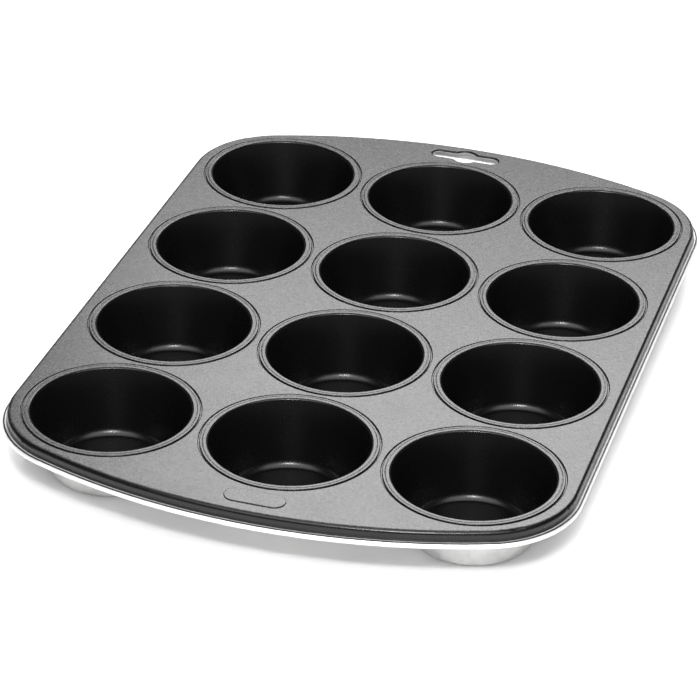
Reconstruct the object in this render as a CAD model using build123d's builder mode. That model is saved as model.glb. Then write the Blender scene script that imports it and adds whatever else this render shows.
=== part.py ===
"""Muffin tin: one pressed deck with a rolled wire rim and drawn cups crimped into it.

Frame: millimetres, origin at the centre of the footprint on the plane the cups stand on.
+X across the short side, +Y along the long side towards the hanging slot, +Z up.
"""
import os
from math import atan2, cos, degrees, radians, sin, sqrt

from build123d import *

# ---- driving dimensions (mm) ----
sheet = 0.5                 # thickness of every pressed sheet
columns = 3                 # cups along X
rows = 4                    # cups along Y
pitch_x = 84.5
pitch_y = 83.7
deck_z = 30.5               # upper face of the deck above the standing plane

deck_half_width = 129.45    # to the start of the edge bend
deck_half_length = 185.05
end_radius = 282.0          # the short ends bow outwards
corner_radius = 43.0
bend_radius = 2.0           # outside radius between deck and skirt
bead_centre_drop = 6.1      # rolled bead's centre below the deck's upper face
bead_radius = 1.4
bead_close_angle = 125.0    # where the curl ends against the skirt, from straight outwards
wire_clearance = 0.02

seat_radius = 40.75         # pressed seat round each hole, which the cup's ring lies in
seat_depth = 0.75
seat_edge_round = 0.4
hole_radius = 37.0

ring_outer_radius = 40.2
ring_rise = 0.25            # ring's top above the deck
ring_inner_radius = 37.3    # where the ring is folded double
ring_edge_round = 0.4
ring_dip_radius = 38.8      # shallow line pressed round the middle of the ring
ring_dip_tool = 0.6
ring_dip_depth = 0.1
wall_top_radius = 36.78     # mid-sheet radius where wall and ring meet
wall_foot_radius = 27.7     # mid-sheet radius and height where wall and corner slope meet
wall_foot_z = 1.4
base_radius = 25.55         # mid-sheet radius of the flat base, where the corner slope starts
section_rounds = (0.7, 5.4, 0.95)           # mid-sheet: edge of the base, corner, ring's inner edge
lock_ridge_radius = 37.9    # shoulder that holds the cup under its seat
lock_ridge_height = 0.9

slot_y = 175.9
slot_half_length = 17.6
slot_half_width = 3.6
slot_lobe_radius = 6.4
slot_blend = 2.5            # between the slot's long sides and its lobe
slot_lip = 1.2              # depth of the slot's turned-down edge
slot_lip_round = 1.1
lip_root_round = 0.55

pad_y = -174.8              # plain raised pad on the end without the slot
pad_length = 28.0
pad_width = 10.5
pad_rise = 0.4

bead_z = deck_z - bead_centre_drop
bead_outset = bend_radius - sheet + bead_radius
wire_radius = bead_radius - sheet - wire_clearance

# the end arcs and the corner arcs meet tangentially
end_centre_y = deck_half_length - end_radius
corner_x = deck_half_width - corner_radius
corner_y = end_centre_y + sqrt((end_radius - corner_radius) ** 2 - corner_x ** 2)
corner_sweep = degrees(atan2(corner_y - end_centre_y, corner_x))
end_sweep = 180.0 - 2.0 * corner_sweep

os.makedirs("parts", exist_ok=True)


def draw_outline(outset):
    """Tray outline, offset outwards from the start of the edge bend."""
    corner = corner_radius + outset
    end = end_radius + outset
    side = deck_half_width + outset
    Line((side, -corner_y), (side, corner_y))
    CenterArc((corner_x, corner_y), corner, 0, corner_sweep)
    CenterArc((0, end_centre_y), end, corner_sweep, end_sweep)
    CenterArc((-corner_x, corner_y), corner, 180 - corner_sweep, corner_sweep)
    Line((-side, corner_y), (-side, -corner_y))
    CenterArc((-corner_x, -corner_y), corner, 180, corner_sweep)
    CenterArc((0, -end_centre_y), end, 180 + corner_sweep, end_sweep)
    CenterArc((corner_x, -corner_y), corner, -corner_sweep, corner_sweep)


def draw_slot(outset):
    """Long round-ended slot with a round lobe at its middle."""
    with BuildSketch(mode=Mode.PRIVATE) as slot:
        SlotOverall(2 * slot_half_length, 2 * slot_half_width)
        Circle(slot_lobe_radius)
        meeting = slot.vertices().filter_by_position(Axis.X, -slot_lobe_radius, slot_lobe_radius)
        fillet(meeting, slot_blend)
        if outset > 0:
            offset(amount=outset)
    with Locations((0, slot_y)):
        add(slot.sketch)


cup_centres = []
for row in range(rows):
    for column in range(columns):
        x = (column - (columns - 1) / 2) * pitch_x
        y = ((rows - 1) / 2 - row) * pitch_y
        cup_centres.append((x, y))

# ---- deck, skirt and rolled bead: one pressed sheet ----
with BuildPart() as top_plate:
    # flat deck
    with BuildSketch(Plane.XY.offset(deck_z - sheet)):
        with BuildLine():
            draw_outline(0)
        make_face()
    extrude(amount=sheet)

    # bend, skirt and curl, swept round the outline
    with BuildLine() as rim_path:
        draw_outline(0)
    with BuildSketch(Plane.XZ) as rim_section:
        with BuildLine():
            edge = deck_half_width
            bend_z = deck_z - bend_radius
            curl = edge + bead_outset
            close = radians(bead_close_angle)
            inner_curl = bead_radius - sheet
            sweep_back = bead_close_angle + 180
            Line((edge, deck_z - sheet), (edge, deck_z))
            CenterArc((edge, bend_z), bend_radius, 0, 90)
            Line((edge + bend_radius, bend_z), (edge + bend_radius, bead_z))
            CenterArc((curl, bead_z), inner_curl, 180, sweep_back)
            Line((curl + inner_curl * cos(close), bead_z + inner_curl * sin(close)),
                 (curl + bead_radius * cos(close), bead_z + bead_radius * sin(close)))
            CenterArc((curl, bead_z), bead_radius, 180, sweep_back)
            Line((edge + bend_radius - sheet, bead_z), (edge + bend_radius - sheet, bend_z))
            CenterArc((edge, bend_z), bend_radius - sheet, 0, 90)
        make_face()
    sweep(path=rim_path.wire())

    # turned-down edge of the hanging slot
    with BuildSketch(Plane.XY.offset(deck_z - slot_lip)):
        draw_slot(sheet)
    extrude(amount=slot_lip - sheet)
    with BuildSketch(Plane.XY.offset(deck_z - slot_lip)):
        draw_slot(0)
    extrude(amount=slot_lip, mode=Mode.SUBTRACT)
    underside = top_plate.faces().filter_by(Plane.XY).filter_by_position(
        Axis.Z, deck_z - sheet - 0.01, deck_z - sheet + 0.01)
    lip_root = [wire for face in underside for wire in face.inner_wires()
                if abs(wire.bounding_box().center().Y - slot_y) < slot_lip]
    fillet(lip_root[0].edges(), lip_root_round)
    upper_face = top_plate.faces().filter_by(Plane.XY).sort_by(Axis.Z)[-1]
    fillet(upper_face.inner_wires()[0].edges(), slot_lip_round)

    # seats and holes for the cups
    with BuildSketch(Plane.XY.offset(deck_z - seat_depth - sheet)):
        with Locations(*cup_centres):
            Circle(seat_radius + sheet)
    extrude(amount=seat_depth)
    with BuildSketch(Plane.XY.offset(deck_z - seat_depth)):
        with Locations(*cup_centres):
            Circle(seat_radius)
    extrude(amount=seat_depth, mode=Mode.SUBTRACT)
    with BuildSketch(Plane.XY.offset(deck_z - seat_depth - sheet)):
        with Locations(*cup_centres):
            Circle(hole_radius)
    extrude(amount=sheet, mode=Mode.SUBTRACT)
    seat_edges = top_plate.edges().filter_by(GeomType.CIRCLE).filter_by(
        lambda edge: abs(edge.radius - seat_radius) < 0.01 and edge.center().Z > deck_z - 0.01)
    fillet(seat_edges, seat_edge_round)
    seat_feet = top_plate.edges().filter_by(GeomType.CIRCLE).filter_by(
        lambda edge: abs(edge.radius - seat_radius - sheet) < 0.01
        and edge.center().Z < deck_z - seat_depth - sheet + 0.01)
    fillet(seat_feet, seat_edge_round)

    # plain raised pad, hollow below
    with BuildSketch(Plane.XY.offset(deck_z)):
        with Locations((0, pad_y)):
            SlotOverall(pad_length, pad_width)
    extrude(amount=pad_rise)
    pad_top = top_plate.faces().filter_by(Plane.XY).sort_by(Axis.Z)[-1]
    fillet(pad_top.edges(), pad_rise - 0.02)
    with BuildSketch(Plane.XY.offset(deck_z - sheet)):
        with Locations((0, pad_y)):
            SlotOverall(pad_length - 2 * sheet, pad_width - 2 * sheet)
    extrude(amount=pad_rise, mode=Mode.SUBTRACT)
top_plate.part.label = "top_plate"
export_step(top_plate.part, "parts/top_plate.step")

# ---- wire inside the rolled bead ----
with BuildPart() as rim_wire:
    with BuildLine() as wire_path:
        draw_outline(bead_outset)
    wire_loop = wire_path.wire().moved(Location((0, 0, bead_z)))
    with BuildSketch(Plane.XZ):
        with Locations((deck_half_width + bead_outset, bead_z)):
            Circle(wire_radius)
    sweep(path=wire_loop)
rim_wire.part.label = "rim_wire"
export_step(rim_wire.part, "parts/rim_wire.step")

# ---- drawn cups ----
half = sheet / 2
ring_top_z = deck_z + ring_rise
ring_mid_z = ring_top_z - half
wall_slope = (wall_top_radius - wall_foot_radius) / (ring_mid_z - wall_foot_z)
ridge_top_z = deck_z - seat_depth - sheet
ridge_foot_z = ridge_top_z - lock_ridge_height


def wall_radius(z):
    """Mid-sheet radius of the tapered wall at height z."""
    return wall_foot_radius + wall_slope * (z - wall_foot_z)


for number, (x, y) in enumerate(cup_centres, start=1):
    name = f"cup_{number:02d}"
    section_plane = Plane(origin=(x, y, 0), x_dir=(1, 0, 0), z_dir=(0, -1, 0))
    with BuildPart() as cup:
        with BuildSketch(section_plane):
            # ring, folded double
            with BuildSketch(mode=Mode.PRIVATE) as ring:
                with Locations((ring_inner_radius, deck_z - seat_depth)):
                    Rectangle(ring_outer_radius - ring_inner_radius, seat_depth + ring_rise,
                              align=(Align.MIN, Align.MIN))
                fillet(ring.vertices().sort_by(Axis.X)[-2:], ring_edge_round)
            add(ring.sketch)
            # middle of the sheet, from the base's centre into the ring
            with BuildLine():
                with BuildLine(mode=Mode.PRIVATE) as middle:
                    FilletPolyline(
                        (0, half),
                        (base_radius, half),
                        (wall_foot_radius, wall_foot_z),
                        (wall_top_radius, ring_mid_z),
                        (ring_dip_radius, ring_mid_z),
                        radius=section_rounds,
                    )
                offset(middle.line, amount=half, side=Side.BOTH)
            make_face()
            # shoulder that grips the seat from below
            with BuildLine():
                Polyline(
                    (wall_radius(ridge_foot_z), ridge_foot_z),
                    (lock_ridge_radius, ridge_foot_z + lock_ridge_height / 2),
                    (lock_ridge_radius, ridge_top_z),
                    (wall_radius(ridge_top_z), ridge_top_z),
                    close=True,
                )
            make_face()
            with Locations((ring_dip_radius, ring_top_z + ring_dip_tool - ring_dip_depth)):
                Circle(ring_dip_tool, mode=Mode.SUBTRACT)
            # nothing crosses the axis of revolution
            Rectangle(ring_outer_radius, ring_top_z, align=(Align.MIN, Align.MIN),
                      mode=Mode.INTERSECT)
        revolve(axis=Axis((x, y, 0), (0, 0, 1)))
    cup.part.label = name
    export_step(cup.part, f"parts/{name}.step")
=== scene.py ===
"""Muffin tin: coating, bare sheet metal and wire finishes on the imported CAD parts, in a plain studio."""

from math import cos, radians, sin

import bpy
from mathutils import Matrix, Vector


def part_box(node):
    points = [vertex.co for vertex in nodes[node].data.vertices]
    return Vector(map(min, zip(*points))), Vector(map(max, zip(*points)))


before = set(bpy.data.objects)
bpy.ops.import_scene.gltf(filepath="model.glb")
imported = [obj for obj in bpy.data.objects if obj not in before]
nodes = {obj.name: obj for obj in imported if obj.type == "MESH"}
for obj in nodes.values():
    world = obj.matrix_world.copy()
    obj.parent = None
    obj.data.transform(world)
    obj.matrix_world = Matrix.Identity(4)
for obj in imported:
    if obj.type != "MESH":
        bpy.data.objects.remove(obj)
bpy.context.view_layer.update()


# ---- sizes in metres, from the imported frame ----
MM = 0.001
COLUMNS = 3                 # cups along X
ROWS = 4                    # cups along Y
RING_RISE = 0.25 * MM       # ring's top above the deck
BEAD_DIAMETER = 2.8 * MM
plate_low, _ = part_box("top_plate")
ring_low, ring_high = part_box("cup_05")
DECK_Z = ring_high.z - RING_RISE
BEAD_TOP_Z = plate_low.z + BEAD_DIAMETER
PITCH_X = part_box("cup_02")[0].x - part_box("cup_01")[0].x
PITCH_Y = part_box("cup_01")[0].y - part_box("cup_04")[0].y
RING_RADIUS = (ring_high.x - ring_low.x) / 2

# ---- where the finishes begin and end ----
SKIRT_COAT_Z = BEAD_TOP_Z - 0.25 * MM       # the skirt is coated down to here
UPPER_COAT_Z = BEAD_TOP_Z + 1.5 * MM        # what faces up above here is coated
CUP_SURROUND = RING_RADIUS + 2 * MM         # nothing this near to a cup's axis is skirt
SEAT_REACH = RING_RADIUS + 0.8 * MM
RING_COAT_Z = DECK_Z - 0.7 * MM             # the whole ring is coated down to here
CUP_SHEEN_Z = DECK_Z - 1 * MM               # a cup's level parts above here get the same painted sheen as the deck; the cup floors below keep the painted shade
LEVEL = (0.85, 0.99)                        # normal's Z from sloping to level, across which the painted sheen fades in
PLATE_UPWARD = (0.10, 0.20)
CUP_UPWARD = (0.05, 0.15)
NOT_DOWNWARD = (-0.5, -0.4)
OUTWARD = (0.0, 0.01 * RING_RADIUS)         # normal dotted with place, from edge-on to outward

# ---- camera ----
AZIMUTH = radians(16.01)
ELEVATION = radians(29.95)
ROLL = radians(1.68)
DISTANCE = 1.425
TARGET = Vector((0.0017, -0.0391, DECK_Z))
SENSOR_WIDTH = 36.0
LENS = 156.9
FAR_CLIP = 50

# ---- finishes ----
COATING_SHEEN_DARK = (0.018, 0.018, 0.0184)      # painted sheen: the coating made lighter on the deck and the rings' tops, where they face up
COATING_SHEEN_LIGHT = (0.055, 0.055, 0.056)
COATING_PAINTED_SHADE = (0.002, 0.002, 0.0021)           # painted shade: the coating made near black in the cups and on the skirt
COATING_FLECK = (0.08, 0.08, 0.081)
COATING_ROUGH_LOW = 0.22
COATING_ROUGH_HIGH = 0.27
PEBBLE_ROUGH = 0.05
PEBBLE_GRAIN = 0.55 * MM
FLECK_GRAIN = 0.32 * MM
FLECK_RANGE = (0.56, 0.74)                      # noise from no fleck to full fleck
MOTTLE_GRAIN = 1.3 * MM
MOTTLE_RANGE = (0.3, 0.7)
CLOUD_GRAIN = 22 * MM

METAL_LIGHT = (0.80, 0.80, 0.795)
METAL_DARK = (0.70, 0.70, 0.70)
SHADED_CUP_LIGHT = (0.60, 0.60, 0.595)               # the cups' outsides: bare metal made darker than the bead's, as painted shade under the deck
SHADED_CUP_DARK = (0.50, 0.50, 0.50)
METAL_SHARE = 0.55          # the bare side is metal under a clear lacquer that scatters some light
METAL_ROUGH = 0.36
GRAIN_ROUGH = 0.16
METAL_GRAIN = 0.25 * MM
GRAIN_SQUEEZE = 0.03                            # places shrink to this along the grain, which draws it out
GRAIN_RELIEF = 0.5                              # grain's height, where the coating's pebbles are 1
SMEAR_GRAIN = 9 * MM
SMEAR_RANGE = (0.35, 0.65)

SHEET_SPECULAR = 0.4
SHEET_RELIEF = 0.012 * MM
WIRE_GRAIN = 0.3 * MM
WIRE_RELIEF = 0.01 * MM
WIRE_ROUGH_LOW = 0.25
WIRE_ROUGH_HIGH = 0.45

PAPER_DARK = (0.90, 0.90, 0.90)
PAPER_LIGHT = (0.93, 0.93, 0.93)
PAPER_CLOUD = 0.5
PAPER_ROUGH = 0.9
FLOOR_HALF = 6.0

# ---- world's light: stronger near the horizon ----
GLOW_BOTTOM = 0.02          # direction's Z where the horizon's glow starts to fade
GLOW_TOP = 0.25
GLOW_HORIZON = 0.45
GLOW_OVERHEAD = 0.06


def add_camera():
    """Camera at the photograph's angle, with the tin framed as it is there."""
    forward = Vector((-sin(AZIMUTH) * cos(ELEVATION), cos(AZIMUTH) * cos(ELEVATION), -sin(ELEVATION)))
    right = Vector((cos(AZIMUTH), sin(AZIMUTH), 0))
    up = right.cross(forward)
    right_rolled = right * cos(ROLL) + up * sin(ROLL)
    up_rolled = right_rolled.cross(forward)
    data = bpy.data.cameras.new("camera")
    data.sensor_width = SENSOR_WIDTH
    data.lens = LENS
    data.clip_end = FAR_CLIP
    camera = bpy.data.objects.new("camera", data)
    bpy.context.scene.collection.objects.link(camera)
    place = Matrix((right_rolled, up_rolled, -forward)).transposed().to_4x4()
    place.translation = TARGET - forward * DISTANCE
    camera.matrix_world = place
    return camera


class Finish:
    """One material's node tree. Most methods add nodes and return an output socket."""

    def __init__(self, name):
        self.material = bpy.data.materials.new(name)
        self.material.use_nodes = True
        self.tree = self.material.node_tree
        self.surface = self.tree.nodes["Principled BSDF"]
        coordinates = self.tree.nodes.new("ShaderNodeTexCoord")
        self.position = coordinates.outputs["Object"]
        self.x, self.y, self.z = self.split(self.position)
        self.normal_x, self.normal_y, self.normal_z = self.split(coordinates.outputs["Normal"])

    def feed(self, socket, value):
        """Links a socket, or sets it to a constant. None leaves it alone."""
        if isinstance(value, bpy.types.NodeSocket):
            self.tree.links.new(value, socket)
        elif value is not None:
            socket.default_value = value

    def split(self, vector):
        node = self.tree.nodes.new("ShaderNodeSeparateXYZ")
        self.feed(node.inputs[0], vector)
        return node.outputs[0], node.outputs[1], node.outputs[2]

    def join(self, x, y, z):
        node = self.tree.nodes.new("ShaderNodeCombineXYZ")
        for socket, value in zip(node.inputs, (x, y, z)):
            self.feed(socket, value)
        return node.outputs[0]

    def math(self, operation, a, b=None, c=None):
        node = self.tree.nodes.new("ShaderNodeMath")
        node.operation = operation
        for socket, value in zip(node.inputs, (a, b, c)):
            self.feed(socket, value)
        return node.outputs[0]

    def above(self, value, limit):
        return self.math("GREATER_THAN", value, limit)

    def below(self, value, limit):
        return self.math("LESS_THAN", value, limit)

    def all_of(self, share, *others):
        """Product of the shares, so 1 only where every one is 1."""
        for other in others:
            share = self.math("MULTIPLY", share, other)
        return share

    def any_of(self, share, *others):
        """Largest of the shares."""
        for other in others:
            share = self.math("MAXIMUM", share, other)
        return share

    def spread(self, value, limits):
        """Goes smoothly from 0 to 1 as value goes from the first limit to the second."""
        node = self.tree.nodes.new("ShaderNodeMapRange")
        node.interpolation_type = "SMOOTHSTEP"
        for socket, number in zip(node.inputs, (value, *limits)):
            self.feed(socket, number)
        return node.outputs[0]

    def noise(self, vector, grain, detail=2.0, roughness=0.5):
        """Noise between 0 and 1 whose spots are about one grain across."""
        node = self.tree.nodes.new("ShaderNodeTexNoise")
        self.feed(node.inputs["Vector"], vector)
        node.inputs["Scale"].default_value = 1.0 / grain
        node.inputs["Detail"].default_value = detail
        node.inputs["Roughness"].default_value = roughness
        return node.outputs["Fac"]

    def blend(self, share, first, second):
        """first where share is 0 and second where it is 1, as colours."""
        node = self.tree.nodes.new("ShaderNodeMix")
        node.data_type = "RGBA"
        colour_sockets = [socket for socket in node.inputs if socket.type == "RGBA"]
        self.feed(node.inputs[0], share)
        for socket, colour in zip(colour_sockets, (first, second)):
            self.feed(socket, (*colour, 1.0) if isinstance(colour, tuple) else colour)
        return [socket for socket in node.outputs if socket.type == "RGBA"][0]

    def lerp(self, share, first, second):
        """first where share is 0 and second where it is 1, as numbers."""
        gap = self.math("SUBTRACT", second, first)
        return self.math("MULTIPLY_ADD", gap, share, first)

    def bump(self, height, distance):
        node = self.tree.nodes.new("ShaderNodeBump")
        node.inputs["Distance"].default_value = distance
        self.feed(node.inputs["Height"], height)
        return node.outputs[0]

    def nearest_cup(self):
        """Distance to the axis of the nearest cup, and that offset along X and Y."""
        x = self.math("WRAP", self.x, PITCH_X / 2, -PITCH_X / 2)
        y = self.math("SUBTRACT", self.math("WRAP", self.y, PITCH_Y, 0.0), PITCH_Y / 2)
        square = self.math("MULTIPLY_ADD", x, x, self.math("MULTIPLY", y, y))
        return self.math("SQRT", square), x, y


def sheet_finish(finish, coated, painted_sheen, along, metal_dark, metal_light):
    """Coating over pressed sheet.

    coated says where the sheet is coated. The other share marks its level parts, which get a painted sheen,
    while the rest of the coating gets painted shade. along is a place squeezed along the metal's grain.
    """
    # coating: fine pebbling, tiny flecks, and slow changes from spraying and handling
    pebble = finish.noise(finish.position, PEBBLE_GRAIN, detail=2.0, roughness=0.6)
    fleck = finish.noise(finish.position, FLECK_GRAIN, detail=1.0)
    cloud = finish.noise(finish.position, CLOUD_GRAIN, detail=3.0, roughness=0.55)
    mottle = finish.noise(finish.position, MOTTLE_GRAIN, detail=3.0, roughness=0.6)
    fleck_share = finish.all_of(finish.spread(fleck, FLECK_RANGE), painted_sheen)
    # painted sheen and shade: level coated parts get a lighter mottled colour as painted sheen, and all
    # other coated parts get a near-black colour as painted shade
    coat_sheen = finish.blend(finish.spread(mottle, MOTTLE_RANGE), COATING_SHEEN_DARK, COATING_SHEEN_LIGHT)
    coat_base = finish.blend(painted_sheen, COATING_PAINTED_SHADE, coat_sheen)
    coat_colour = finish.blend(fleck_share, coat_base, COATING_FLECK)
    coat_rough = finish.lerp(cloud, COATING_ROUGH_LOW, COATING_ROUGH_HIGH)
    coat_rough = finish.math("MULTIPLY_ADD", pebble, PEBBLE_ROUGH, coat_rough)

    # metal: fine grain and faint smears
    grain = finish.noise(along, METAL_GRAIN, detail=3.0, roughness=0.6)
    smear = finish.noise(finish.position, SMEAR_GRAIN, detail=4.0, roughness=0.6)
    metal_colour = finish.blend(finish.spread(smear, SMEAR_RANGE), metal_dark, metal_light)
    metal_rough = finish.math("MULTIPLY_ADD", grain, GRAIN_ROUGH, METAL_ROUGH)

    surface = finish.surface.inputs
    surface["Specular IOR Level"].default_value = SHEET_SPECULAR
    finish.feed(surface["Base Color"], finish.blend(coated, metal_colour, coat_colour))
    finish.feed(surface["Metallic"], finish.math("MULTIPLY_ADD", coated, -METAL_SHARE, METAL_SHARE))
    finish.feed(surface["Roughness"], finish.lerp(coated, metal_rough, coat_rough))
    relief = finish.lerp(coated, finish.math("MULTIPLY", grain, GRAIN_RELIEF), pebble)
    finish.feed(surface["Normal"], finish.bump(relief, SHEET_RELIEF))
    return finish.material


def plate_finish():
    """Coated deck, seats and skirt, with a bare bead and underside."""
    finish = Finish("coated_sheet")
    distance, _, _ = finish.nearest_cup()
    in_grid = finish.all_of(
        finish.below(finish.math("ABSOLUTE", finish.x), COLUMNS / 2 * PITCH_X),
        finish.below(finish.math("ABSOLUTE", finish.y), ROWS / 2 * PITCH_Y))
    near_cup = finish.all_of(in_grid, finish.below(distance, CUP_SURROUND))
    radial = finish.math("MULTIPLY_ADD", finish.normal_x, finish.x,
                         finish.math("MULTIPLY", finish.normal_y, finish.y))
    skirt = finish.all_of(
        finish.spread(radial, OUTWARD),
        finish.spread(finish.normal_z, NOT_DOWNWARD),
        finish.above(finish.z, SKIRT_COAT_Z),
        finish.math("SUBTRACT", 1.0, near_cup))
    deck = finish.all_of(finish.spread(finish.normal_z, PLATE_UPWARD), finish.above(finish.z, UPPER_COAT_Z))
    seat = finish.all_of(
        in_grid,
        finish.below(distance, SEAT_REACH),
        finish.above(finish.normal_z, NOT_DOWNWARD[1]))
    coated = finish.any_of(skirt, deck, seat)
    # the level share puts the painted sheen on the deck; the sloping skirt keeps the painted shade
    painted_sheen = finish.spread(finish.normal_z, LEVEL)
    along = finish.join(finish.x, finish.math("MULTIPLY", finish.y, GRAIN_SQUEEZE), finish.z)
    return sheet_finish(finish, coated, painted_sheen, along, METAL_DARK, METAL_LIGHT)


def cup_finish():
    """Coated inside and ring, with a bare outside whose grain runs down the wall. The bare outside is
    darker than the plate's bare metal, as painted shade under the deck.
    """
    finish = Finish("coated_cup")
    distance, x, y = finish.nearest_cup()
    coated = finish.any_of(finish.spread(finish.normal_z, CUP_UPWARD), finish.above(finish.z, RING_COAT_Z))
    # the level share puts the painted sheen on the rings' tops; the walls and floors inside keep the
    # painted shade
    painted_sheen = finish.all_of(finish.spread(finish.normal_z, LEVEL), finish.above(finish.z, CUP_SHEEN_Z))
    turn = finish.math("MULTIPLY", finish.math("ARCTAN2", y, x), RING_RADIUS)
    along = finish.join(turn,
                        finish.math("MULTIPLY", finish.z, GRAIN_SQUEEZE),
                        finish.math("MULTIPLY", distance, GRAIN_SQUEEZE))
    return sheet_finish(finish, coated, painted_sheen, along, SHADED_CUP_DARK, SHADED_CUP_LIGHT)


def wire_finish():
    finish = Finish("wire")
    grain = finish.noise(finish.position, WIRE_GRAIN, detail=3.0, roughness=0.6)
    surface = finish.surface.inputs
    surface["Metallic"].default_value = 1.0
    finish.feed(surface["Base Color"], finish.blend(grain, METAL_DARK, METAL_LIGHT))
    finish.feed(surface["Roughness"], finish.lerp(grain, WIRE_ROUGH_LOW, WIRE_ROUGH_HIGH))
    finish.feed(surface["Normal"], finish.bump(grain, WIRE_RELIEF))
    return finish.material


def paper_finish():
    finish = Finish("floor_paper")
    cloud = finish.noise(finish.position, PAPER_CLOUD)
    surface = finish.surface.inputs
    surface["Roughness"].default_value = PAPER_ROUGH
    finish.feed(surface["Base Color"], finish.blend(cloud, PAPER_DARK, PAPER_LIGHT))
    return finish.material


def add_floor():
    mesh = bpy.data.meshes.new("floor")
    corners = [(x * FLOOR_HALF, y * FLOOR_HALF, 0) for x, y in ((-1, -1), (1, -1), (1, 1), (-1, 1))]
    mesh.from_pydata(corners, [], [(0, 1, 2, 3)])
    mesh.materials.append(paper_finish())
    floor = bpy.data.objects.new("floor", mesh)
    bpy.context.scene.collection.objects.link(floor)


def add_light(name, away, side, height, size_x, size_y, power, in_reflections=True):
    """Rectangular light aimed at the tin. away and side are as seen from the camera."""
    away_direction = Vector((-sin(AZIMUTH), cos(AZIMUTH), 0))
    side_direction = Vector((cos(AZIMUTH), sin(AZIMUTH), 0))
    data = bpy.data.lights.new(name, "AREA")
    data.shape = "RECTANGLE"
    data.size = size_x
    data.size_y = size_y
    data.energy = power
    light = bpy.data.objects.new(name, data)
    light.location = away_direction * away + side_direction * side + Vector((0, 0, height))
    light.rotation_euler = (-light.location).to_track_quat("-Z", "Y").to_euler()
    light.visible_glossy = in_reflections
    bpy.context.scene.collection.objects.link(light)


def add_world():
    world = bpy.data.worlds.new("world")
    world.use_nodes = True
    tree = world.node_tree
    direction = tree.nodes.new("ShaderNodeTexCoord")
    parts = tree.nodes.new("ShaderNodeSeparateXYZ")
    glow = tree.nodes.new("ShaderNodeMapRange")
    glow.interpolation_type = "SMOOTHSTEP"
    limits = (GLOW_BOTTOM, GLOW_TOP, GLOW_HORIZON, GLOW_OVERHEAD)
    for socket, number in zip(glow.inputs[1:], limits):
        socket.default_value = number
    background = tree.nodes["Background"]
    background.inputs["Color"].default_value = (1, 1, 1, 1)
    tree.links.new(direction.outputs["Generated"], parts.inputs[0])
    tree.links.new(parts.outputs[2], glow.inputs[0])
    tree.links.new(glow.outputs[0], background.inputs["Strength"])
    bpy.context.scene.world = world


# ---- the tin's finishes ----
cup_look = cup_finish()
looks = {"top_plate": plate_finish(), "rim_wire": wire_finish()}
for name, obj in nodes.items():
    obj.data.materials.clear()
    obj.data.materials.append(looks.get(name, cup_look))

# ---- the scene ----
bpy.context.scene.camera = add_camera()
bpy.context.scene.view_settings.view_transform = "Standard"
add_floor()
add_light("back_soft", away=1.7, side=0.3, height=1.38, size_x=1.3, size_y=0.8, power=25)
add_light("front_soft", away=-0.75, side=0, height=1.35, size_x=2.0, size_y=1.1, power=20)
add_light("front_core", away=-1.1, side=-0.03, height=1.06, size_x=0.30, size_y=0.12, power=12)
add_light("top_fill", away=0, side=0, height=2.4, size_x=3.0, size_y=3.0, power=50, in_reflections=False)
add_light("low_fill", away=-2.2, side=0, height=0.7, size_x=3.0, size_y=1.0, power=25, in_reflections=False)
add_world()
